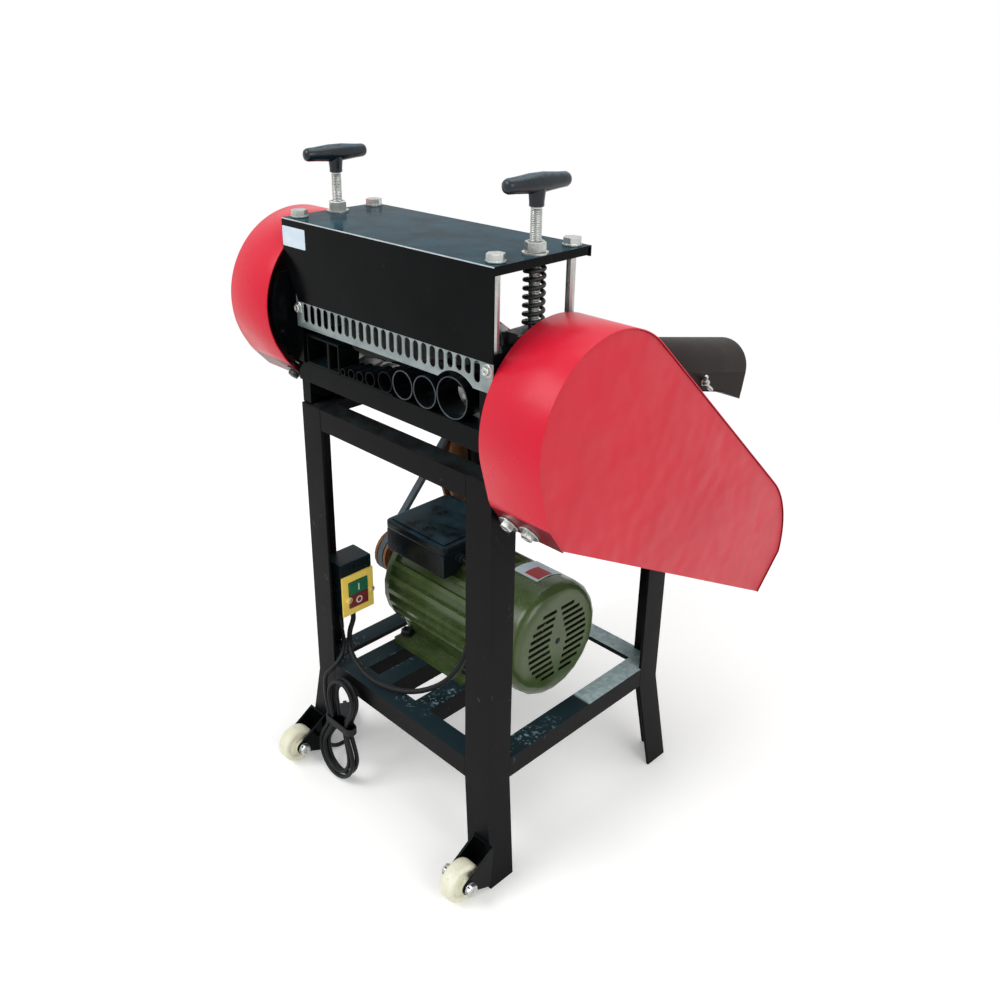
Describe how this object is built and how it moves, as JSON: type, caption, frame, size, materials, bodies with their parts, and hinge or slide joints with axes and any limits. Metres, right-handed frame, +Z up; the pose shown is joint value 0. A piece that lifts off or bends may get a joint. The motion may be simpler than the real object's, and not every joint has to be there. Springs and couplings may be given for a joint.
{
  "type": "wire stripping machine",
  "caption": "Motor-driven bench machine on an angle-steel stand that slits and feeds cable through a row of guide tubes, with belt and chain guards.",
  "frame": {"origin": "centre of the machine's footprint box at floor level, without the loose mains lead", "axes": "+X to the machine's right, +Y to its back, +Z up; the comb and the guide tubes face -Y"},
  "size_m": [0.504, 0.624, 0.8372],
  "materials": {
    "black_paint": "gloss black paint on steel",
    "spring_steel": "blackened spring steel",
    "nylon": "cream white nylon",
    "zinc": "bright zinc plate",
    "black_plastic": "black moulded plastic",
    "steel": "machined steel",
    "comb_aluminium": "brushed aluminium",
    "red_paint": "satin red paint on sheet steel",
    "cast_iron": "brown primed casting",
    "rubber": "black rubber",
    "motor_green": "olive green enamel",
    "yellow_plastic": "yellow moulded plastic",
    "green_plastic": "green moulded plastic",
    "red_plastic": "dark red moulded plastic"
  },
  "bodies": {
    "stand": {"leg_front_left": "black_paint", "leg_front_right": "black_paint", "leg_rear_left": "black_paint", "leg_rear_right": "black_paint", "table_frame": "black_paint", "shelf_frame": "black_paint", "caster_bracket_left": "black_paint", "caster_bracket_right": "black_paint", "side_plate_left": "black_paint", "side_plate_right": "black_paint", "head_front_rail": "black_paint", "head_rear_rail": "black_paint", "top_plate": "black_paint", "top_sheet": "black_paint", "box_guides": "black_paint", "small_guide_tubes": "black_paint", "guide_tube_1": "black_paint", "guide_tube_2": "black_paint", "guide_tube_3": "black_paint", "bearing_bracket_left": "black_paint", "bearing_bracket_right": "black_paint", "outlet_chute": "black_paint", "corner_bolt_front_left": "zinc", "corner_bolt_front_right": "zinc", "corner_bolt_rear_left": "zinc", "corner_bolt_rear_right": "zinc", "terminal_box": "black_plastic", "terminal_box_lid": "black_plastic", "switch_box": "black_plastic", "drive_chain": "steel", "comb_plate": "comb_aluminium", "guard_left": "red_paint", "guard_right": "red_paint", "v_belt": "rubber", "motor_lead": "rubber", "mains_lead": "rubber", "mains_hank": "rubber", "mains_plug": "rubber", "motor_housing": "motor_green", "fan_cover": "motor_green", "switch_bezel": "yellow_plastic"},
    "caster_left": {"caster_wheel_left": "nylon"},
    "caster_right": {"caster_wheel_right": "nylon"},
    "motor_rotor": {"motor_shaft": "steel", "motor_pulley": "cast_iron"},
    "rear_shaft": {"cross_shaft": "steel", "cross_shaft_pulley": "cast_iron"},
    "roller": {"feed_roller": "steel", "drive_sprocket": "steel"},
    "carriage": {"bearing_block_left": "steel", "bearing_block_right": "steel", "spring_left": "spring_steel", "spring_right": "spring_steel"},
    "cutters": {"blade_shaft": "steel"},
    "screw_left": {"adjusting_screw_left": "zinc", "t_handle_left": "black_plastic"},
    "screw_right": {"adjusting_screw_right": "zinc", "t_handle_right": "black_plastic"},
    "start_button": {"start_key": "green_plastic"},
    "stop_button": {"stop_key": "red_plastic"}
  },
  "joints": [
    {"name": "caster_left_spin", "type": "hinge", "parent": "stand", "child": "caster_left", "pos_m": [-0.168, -0.28697, 0.027], "axis": [1, 0, 0], "continuous": true},
    {"name": "caster_right_spin", "type": "hinge", "parent": "stand", "child": "caster_right", "pos_m": [0.168, -0.28697, 0.027], "axis": [1, 0, 0], "continuous": true},
    {"name": "motor_spin", "type": "hinge", "parent": "stand", "child": "motor_rotor", "pos_m": [0, -0.06897, 0.2393], "axis": [1, 0, 0], "continuous": true},
    {"name": "rear_shaft_spin", "type": "hinge", "parent": "stand", "child": "rear_shaft", "pos_m": [0, 0.16203, 0.342], "axis": [1, 0, 0], "continuous": true},
    {"name": "roller_spin", "type": "hinge", "parent": "stand", "child": "roller", "pos_m": [0, -0.17697, 0.566], "axis": [1, 0, 0], "continuous": true},
    {"name": "carriage_slide", "type": "slide", "parent": "stand", "child": "carriage", "axis": [0, 0, 1], "range_m": [-0.004, 0.006], "deforming": ["spring_left", "spring_right"]},
    {"name": "cutter_spin", "type": "hinge", "parent": "carriage", "child": "cutters", "pos_m": [0, -0.17697, 0.655], "axis": [1, 0, 0], "continuous": true},
    {"name": "left_screw_turn", "type": "hinge", "parent": "carriage", "child": "screw_left", "pos_m": [-0.159, -0.17697, 0.75], "axis": [0, 0, 1], "range_deg": [-823, 1235]},
    {"name": "right_screw_turn", "type": "hinge", "parent": "carriage", "child": "screw_right", "pos_m": [0.159, -0.17697, 0.75], "axis": [0, 0, 1], "range_deg": [-823, 1235]},
    {"name": "start_push", "type": "slide", "parent": "stand", "child": "start_button", "axis": [1, 0, 0], "range_m": [-0.0025, 0], "stiffness_N_per_m": 400},
    {"name": "stop_push", "type": "slide", "parent": "stand", "child": "stop_button", "axis": [1, 0, 0], "range_m": [-0.0025, 0], "stiffness_N_per_m": 400}
  ],
  "couplings": [
    {"joint": "rear_shaft_spin", "follows": "motor_spin", "ratio": 0.21538},
    {"joint": "roller_spin", "follows": "motor_spin", "ratio": 0.0875},
    {"joint": "cutter_spin", "follows": "motor_spin", "ratio": -0.0875},
    {"joint": "left_screw_turn", "follows": "carriage_slide", "rad_per_m": 3590.4},
    {"joint": "right_screw_turn", "follows": "carriage_slide", "rad_per_m": 3590.4}
  ]
}
